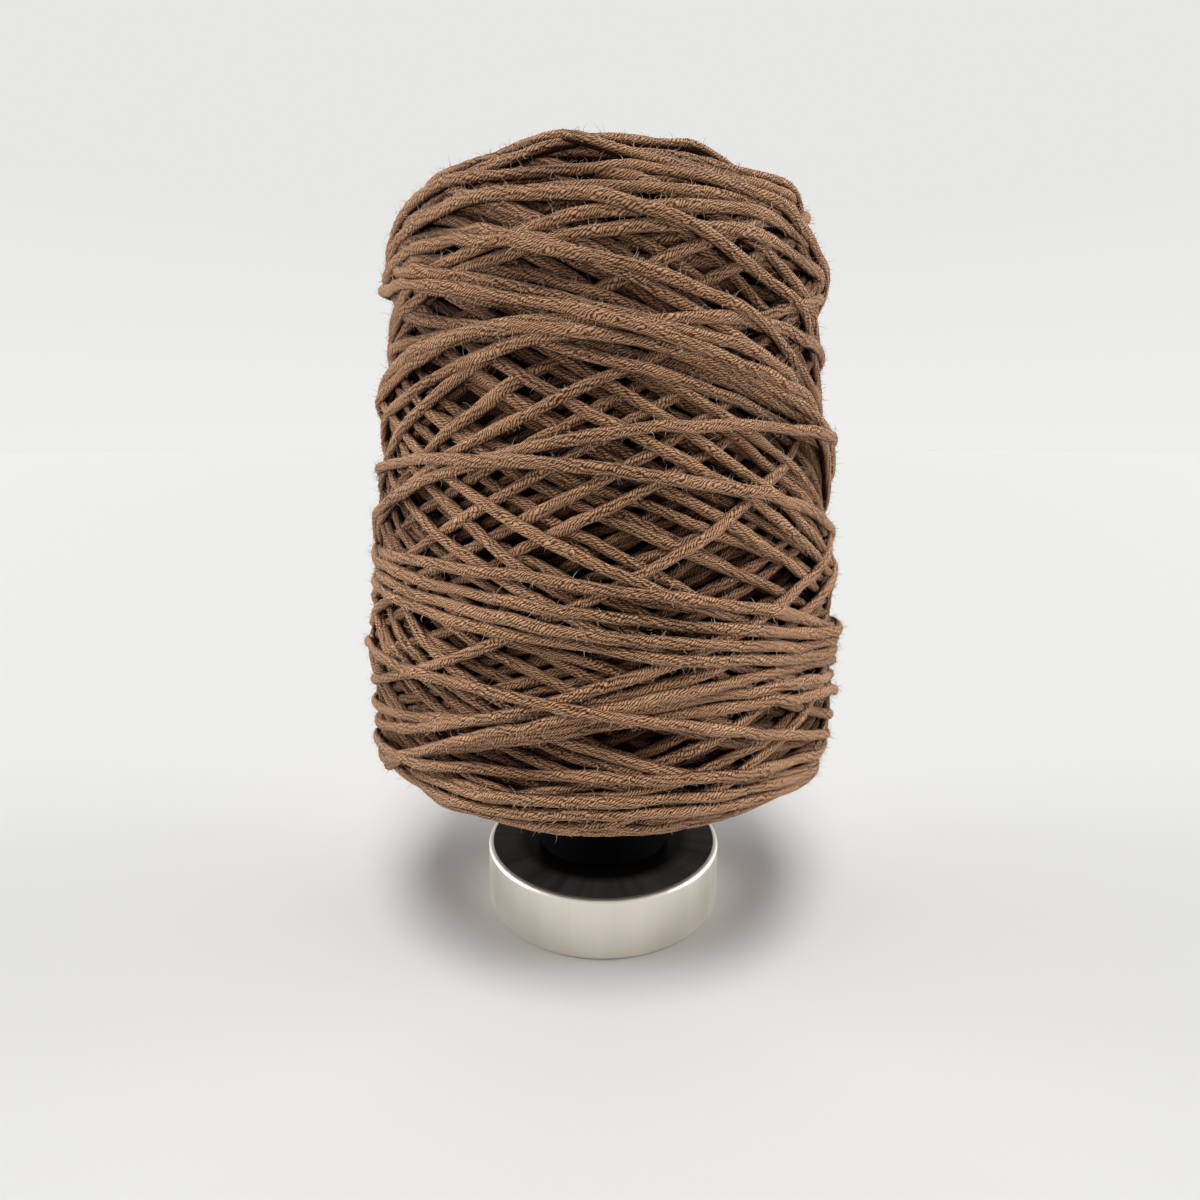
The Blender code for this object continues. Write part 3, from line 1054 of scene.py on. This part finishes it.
def strand_piece(stretch):
    """The stretch's turns as a piece of their own, without what lies buried."""
    start = strand_along[stretch.first_turn * STEPS_PER_TURN]
    end = strand_along[min(stretch.last_turn * STEPS_PER_TURN, len(strand_along) - 1)]
    along = np.arange(start, end, stretch.step)

    def here(values):
        return np.interp(along, strand_along, values)

    shows = here(strand_shows) > 0.5
    line = np.stack([here(values) for values in strand_line.T], axis=1)
    out = np.stack([here(values) for values in strand_out.T], axis=1)
    heading = np.gradient(line, axis=0)
    heading /= np.linalg.norm(heading, axis=1)[:, None]
    out -= heading * (out * heading).sum(axis=1)[:, None]
    out /= np.linalg.norm(out, axis=1)[:, None]
    line += np.cross(heading, out) * np.interp(along, swell_places, sway)[:, None]
    twist = 2 * math.pi * along / PLY_TURN + np.interp(along, swell_places, twist_wander)
    number = np.cumsum(shows) - 1
    edges = [(number[i], number[i + 1]) for i in np.nonzero(shows[:-1] & shows[1:])[0]]
    mesh = bpy.data.meshes.new(stretch.name)
    mesh.from_pydata(line[shows], edges, [])
    for name, values in (
        ("along", along),
        ("depth", here(strand_depth)),
        ("fullness", np.interp(along, swell_places, swell)),
        ("twist", twist),
    ):
        mesh.attributes.new(name, "FLOAT", "POINT").data.foreach_set("value", values[shows])
    outward = mesh.attributes.new("outward", "FLOAT_VECTOR", "POINT")
    outward.data.foreach_set("vector", out[shows].ravel())
    piece = bpy.data.objects.new(stretch.name, mesh)
    scene.collection.objects.link(piece)
    return grown(
        piece,
        strand_tree,
        Width=STRAND_WIDTH,
        Flatness=FLATNESS,
        Plies=stretch.lobes,
        Ply_Groove=PLY_GROOVE,
        Finish=yarn_finish,
    )


for stretch in STRETCHES:
    piece = strand_piece(stretch)
    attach(piece, "root")
    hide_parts("yarn")

# ======================================
# The fuzz.  Short fine fibres stand out from the soft yarn all over, most of them curled and
# lying close to it, and show as a pale haze round its edges.
# ======================================
FIBRE_WIDTH = 0.00010
FIBRE_LENGTH = 0.0012
FIBRE_LENGTHS = (0.4, 1.5)  # least and most, in shares of that
FIBRE_LEAN = (0.7, 0.7, 3.14159)  # the most, in radians, to both sides and round the root
FIBRE_SIDE = 0.1  # least share of the outward direction, where fibres grow
FIBRE_FORMS = (  # steps, bend and tip of fibres that grow up from their roots
    (2, (0.1, 0.0, 0.8), (0.9, 0.1, 1.1)),
    (1, (-0.3, 0.1, 0.4), (0.6, -0.2, 0.7)),
    (1, (0.5, 0.3, 0.5), (0.1, 0.7, 0.6)),
    (1, (0.2, -0.4, 0.8), (0.7, 0.0, 0.4)),
)

fuzz_tree = new_tree(
    "loose fibres", {"Width": 0.00005, "Length": 0.002, "Per Area": 100000.0, "Seed": 5}
)
fuzz_node = partial(made, fuzz_tree)
sizes = fuzz_tree.nodes["Group Input"].outputs


def at_random(low, high, seed, kind="FLOAT"):
    """A random value for each fibre."""
    inputs = {"Min": low, "Max": high, "Seed": seed}
    node = add_node(fuzz_tree, "FunctionNodeRandomValue", inputs, data_type=kind)
    return node.outputs["Value"]


# Roots all over the outward side of the strands.
normal = fuzz_node("GeometryNodeInputNormal")
outward_side = stored(fuzz_tree, "outward", "FLOAT_VECTOR")
facing = vector_node(fuzz_tree, "DOT_PRODUCT", normal, outward_side, output="Value")
roots = add_node(
    fuzz_tree,
    "GeometryNodeDistributePointsOnFaces",
    {
        "Mesh": sizes["Geometry"],
        "Selection": math_node(fuzz_tree, "GREATER_THAN", facing, FIBRE_SIDE),
        "Density": sizes["Per Area"],
        "Seed": sizes["Seed"],
    },
).outputs

# Fibres of a few forms, bent and running to a point.
fibre_radius = math_node(fuzz_tree, "MULTIPLY", sizes["Width"], 0.5)
fibre_ring = fuzz_node(
    "GeometryNodeCurvePrimitiveCircle", {"Resolution": 3, "Radius": fibre_radius}
)
fibre_size = scaled(fuzz_tree, (1.0, 1.0, 1.0), sizes["Length"])
fibre_taper = math_node(fuzz_tree, "SUBTRACT", 1.0, fuzz_node("GeometryNodeSplineParameter"))
fibre_forms = add_node(fuzz_tree, "GeometryNodeGeometryToInstance")
for steps, bend, tip in FIBRE_FORMS:
    arc = fuzz_node(
        "GeometryNodeCurveQuadraticBezier",
        {"Resolution": steps, "Start": (0.0, 0.0, 0.0), "Middle": bend, "End": tip},
    )
    arc = fuzz_node("GeometryNodeTransform", {"Geometry": arc, "Scale": fibre_size})
    fibre = fuzz_node(
        "GeometryNodeCurveToMesh",
        {"Curve": arc, "Profile Curve": fibre_ring, "Scale": fibre_taper, "Fill Caps": True},
    )
    fibre = fuzz_node("GeometryNodeMergeByDistance", {"Geometry": fibre, "Distance": 1e-6})
    fuzz_tree.links.new(fibre, fibre_forms.inputs[0])

# One of the forms on each root, at its own length and lean.
lean = at_random(tuple(-most for most in FIBRE_LEAN), FIBRE_LEAN, sizes["Seed"], "FLOAT_VECTOR")
lean = fuzz_node("FunctionNodeEulerToRotation", {"Euler": lean})
standing = fuzz_node(
    "FunctionNodeRotateRotation",
    {"Rotation": roots["Rotation"], "Rotate By": lean},
    rotation_space="LOCAL",
)
fibres = fuzz_node(
    "GeometryNodeInstanceOnPoints",
    {
        "Points": roots["Points"],
        "Instance": fibre_forms.outputs[0],
        "Pick Instance": True,
        "Instance Index": at_random(0, len(FIBRE_FORMS) - 1, 7, "INT"),
        "Rotation": standing,
        "Scale": at_random(*FIBRE_LENGTHS, 9),
    },
)
finish_tree(fuzz_tree, fibres)

FIBRE_DARKEST = (0.48, 0.31, 0.21)
FIBRE_PALEST = (0.80, 0.64, 0.52)
# The fibres' colour is painted darker with their depth, as painted shade.
FIBRE_DUSK = (0.0016, 0.0042)  # depths between which the fibres grow dark
fibre_finish = new_finish("loose brown fibres", FIBRE_DARKEST, 0.8)
fibre_tree = fibre_finish.node_tree
fibre_tone = noise_on(fibre_tree, object_place(fibre_tree), scale=900.0, detail=1.0)
fibre_colours = colours_by(fibre_tree, fibre_tone, (0.3, FIBRE_DARKEST), (0.7, FIBRE_PALEST))
# Painted shade: the deeper a fibre lies, the darker its colour.
fibre_depth = attribute_of(fibre_tree, "depth")
fibre_light = map_range(fibre_tree, fibre_depth, FIBRE_DUSK, to=(1.0, 0.06))
feed(fibre_tree, scaled(fibre_tree, fibre_colours, fibre_light), "Base Color")

Fuzz = namedtuple("Fuzz", "name strands per_area seed")  # fibres for a square metre of strands
FUZZ = (
    Fuzz("yarn_fuzz_outer", "yarn_turns_outer", 500000.0, 5),
    Fuzz("yarn_fuzz_middle", "yarn_turns_middle", 440000.0, 6),
    Fuzz("yarn_fuzz_lower", "yarn_turns_lower", 170000.0, 7),
)
for fuzzy in FUZZ:
    fuzz = bpy.data.objects.new(fuzzy.name, bpy.data.objects[fuzzy.strands].data.copy())
    scene.collection.objects.link(fuzz)
    grown(
        fuzz,
        fuzz_tree,
        Width=FIBRE_WIDTH,
        Length=FIBRE_LENGTH,
        Per_Area=fuzzy.per_area,
        Seed=fuzzy.seed,
        Finish=fibre_finish,
    )
    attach(fuzz, "root")
    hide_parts("yarn")

# ======================================
# The wound yarn's inside.  Between the outer turns the eye meets only deeper turns in the
# dark, so one closed form stands for them and for the core.
# ======================================
BODY_COLUMNS = 130
BODY_ROWS = 110
UNDER_STRANDS = 0.0020  # from the deepest turns that show down to the inside
BODY_REACH = 5  # cells
BODY_SMOOTH = 0.0010
body_places = np.linspace(0.0, outline_length, BODY_ROWS)
body_angles = np.linspace(-math.pi, math.pi, BODY_COLUMNS, endpoint=False)
grid_angles, grid_places = np.meshgrid(body_angles, body_places[:-1])
body_form = lowest_form(BODY_REACH, BODY_SMOOTH)
sink = level_at(grid_angles, grid_places) - level_at(grid_angles, grid_places, body_form)
body_grid = on_package(grid_angles, grid_places, -pressed(sink) - UNDER_STRANDS)[0]
body_points = list(body_grid.reshape(-1, 3))
body_faces = []
for row in range(BODY_ROWS - 2):
    for i in range(BODY_COLUMNS):
        a = row * BODY_COLUMNS + i
        b = row * BODY_COLUMNS + (i + 1) % BODY_COLUMNS
        body_faces.append((a, b, b + BODY_COLUMNS, a + BODY_COLUMNS))
body_points += [(0.0, 0.0, OUTLINE[0].height), (0.0, 0.0, OUTLINE[-1].height)]
last_row = (BODY_ROWS - 2) * BODY_COLUMNS
for i in range(BODY_COLUMNS):
    j = (i + 1) % BODY_COLUMNS
    body_faces.append((j, i, len(body_points) - 2))
    body_faces.append((last_row + i, last_row + j, len(body_points) - 1))

# Painted shade: the inside is coloured as deeper turns in shade, near black, a little lighter in
# places.
DEEP_TURNS_DARK = (0.004, 0.002, 0.001)
DEEP_TURNS_LIT = (0.045, 0.022, 0.012)
inside_finish = new_finish("yarn in the dark", DEEP_TURNS_DARK, 1.0)
inside_tree = inside_finish.node_tree
shader_of(inside_finish).inputs["Specular IOR Level"].default_value = 0.0
deep_turns = noise_on(inside_tree, object_place(inside_tree), scale=420.0, detail=2.0)
inside_tone = colours_by(inside_tree, deep_turns, (0.40, DEEP_TURNS_DARK), (0.75, DEEP_TURNS_LIT))
feed(inside_tree, inside_tone, "Base Color")
raise_grain(inside_tree, deep_turns, strength=1.0, distance=0.001)
yarn_body = mesh_piece("yarn_body", body_points, body_faces, inside_finish)
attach(yarn_body, "root")
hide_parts("yarn")

# ======================================
# The foot.  A solid drum of bright nickel-plated metal with a rounded rim.  Its side is drawn
# faintly upright.  Its flat top is turned; it is painted black without the metal's shine, as
# painted shade of the yarn over it, with a band of painted light near the rim streaked outwards
# with painted highlights.
# ======================================
PLATE_DARKEST = (0.825, 0.80, 0.715)
PLATE_BRIGHTEST = (0.865, 0.84, 0.752)
PLATE_ROUGHNESS = 0.40
UNEVENNESS = 0.06  # of the roughness
UPRIGHT_SHARE = 0.05  # of the height that counts, so that the marks on the side run upright
# The top is painted as in shade: near black, with a band near the rim painted lighter as painted
# light.
PAINTED_SHADE_TOP_COLOUR = (0.003, 0.003, 0.003)
PAINTED_LIGHT_TOP_COLOUR = (0.090, 0.087, 0.083)
DARK_TOP_HEIGHT = 0.0151
DARK_TOP_RADIUS = 0.0288
LIT_BAND = (0.0205, 0.0235)  # radii between which a little light reaches the dark top
TURNING_MARK = 0.00012  # width of a turning mark on the top
foot_finish = new_finish("polished metal", PLATE_BRIGHTEST, PLATE_ROUGHNESS, metallic=1.0)
foot_tree = foot_finish.node_tree
shader_of(foot_finish).inputs["Specular IOR Level"].default_value = 0.04
foot_math = partial(math_node, foot_tree)
foot_place = object_place(foot_tree)
foot_height = add_node(foot_tree, "ShaderNodeSeparateXYZ", {"Vector": foot_place}).outputs["Z"]
flat_place = vector_node(foot_tree, "MULTIPLY", foot_place, (1.0, 1.0, 0.0))
foot_radius = vector_node(foot_tree, "LENGTH", flat_place, output="Value")
on_top = foot_math("GREATER_THAN", foot_height, DARK_TOP_HEIGHT)
painted_shade_top = foot_math("MULTIPLY", on_top, foot_math("LESS_THAN", foot_radius, DARK_TOP_RADIUS))

# Upright marks on the side, nearly the same at every height, and different all round.
upright = vector_node(foot_tree, "MULTIPLY", foot_place, (1.0, 1.0, UPRIGHT_SHARE))
side_marks = noise_on(foot_tree, upright, scale=180.0, detail=1.0)
side_colours = colours_by(foot_tree, side_marks, (0.3, PLATE_DARKEST), (0.7, PLATE_BRIGHTEST))
least_roughness = PLATE_ROUGHNESS - UNEVENNESS / 2
side_roughness = foot_math("MULTIPLY_ADD", side_marks, UNEVENNESS, least_roughness)

# The top: a band near the rim painted lighter as painted light, streaked outwards as painted
# highlights, and turning marks round it in its grain.
outwards = vector_node(foot_tree, "NORMALIZE", flat_place)
outward_marks = noise_on(foot_tree, outwards, scale=7.0, detail=3.0)
painted_top_light = foot_math("MULTIPLY", map_range(foot_tree, foot_radius, LIT_BAND), outward_marks)
top_colours = colours_by(foot_tree, painted_top_light, (0.0, PAINTED_SHADE_TOP_COLOUR), (0.8, PAINTED_LIGHT_TOP_COLOUR))
round_marks = foot_math("MULTIPLY", foot_radius, 2 * math.pi / TURNING_MARK)
marks = mixed(foot_tree, painted_shade_top, side_marks, foot_math("SINE", round_marks))

feed(foot_tree, mixed(foot_tree, painted_shade_top, side_colours, top_colours, "RGBA"), "Base Color")
feed(foot_tree, foot_math("SUBTRACT", 1.0, painted_shade_top), "Metallic")
feed(foot_tree, side_roughness, "Roughness")
raise_grain(foot_tree, marks, strength=0.05, distance=0.000002)
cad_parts["foot"].material_slots[0].material = foot_finish

# ======================================
# The core end.  The yarn is wound on a core of black moulded plastic, and the short end of it
# stands on the foot under the yarn, with a fine matt grain.
# ======================================
# The core's black is darker than plastic's own, nearly no colour at all, as painted shade under the
# yarn.
CORE_BLACK = (0.001, 0.001, 0.001)
CORE_GREY = (0.006, 0.006, 0.006)
core_finish = new_finish("black moulded plastic", CORE_BLACK, 0.9)
core_tree = core_finish.node_tree
shader_of(core_finish).inputs["Specular IOR Level"].default_value = 0.02
core_grain = noise_on(core_tree, object_place(core_tree), scale=2500.0, detail=2.0)
core_tone = colours_by(core_tree, core_grain, (0.0, CORE_BLACK), (1.0, CORE_GREY))
feed(core_tree, core_tone, "Base Color")
feed(core_tree, math_node(core_tree, "MULTIPLY_ADD", core_grain, 0.2, 0.75), "Roughness")
raise_grain(core_tree, core_grain, strength=0.4, distance=0.0001)
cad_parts["core_end"].material_slots[0].material = core_finish
